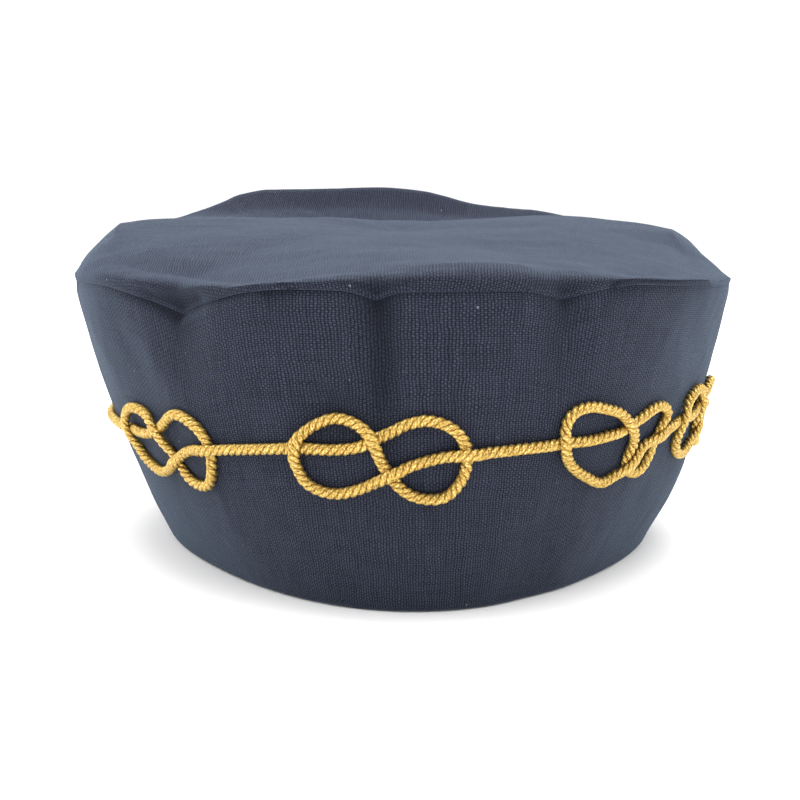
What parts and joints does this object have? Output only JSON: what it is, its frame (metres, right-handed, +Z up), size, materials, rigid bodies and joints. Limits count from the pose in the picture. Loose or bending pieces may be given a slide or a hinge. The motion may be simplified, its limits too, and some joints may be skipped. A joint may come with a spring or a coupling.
{
  "type": "masonic hat",
  "caption": "Masonic hat: a soft round brimless cloth cap with a flared side wall, a puffed top and a gold cord in love knots, worn at ceremonies.",
  "frame": {"origin": "on the surface that the cap stands on, under the middle of its outline seen from above", "axes": "+Z up, -Y towards the front, +X to the wearer's left, which is the viewer's right"},
  "size_m": [0.2326, 0.2375, 0.1298],
  "materials": {
    "navy_cloth": "dark navy plain-weave cotton, matt, with fine lint",
    "gold_thread": "gold metallic yarn laid as a three-strand rope, softly shining"
  },
  "bodies": {
    "root": {"side_wall": "navy_cloth", "crown_tip": "navy_cloth", "gold_cord": "gold_thread"}
  },
  "joints": []
}
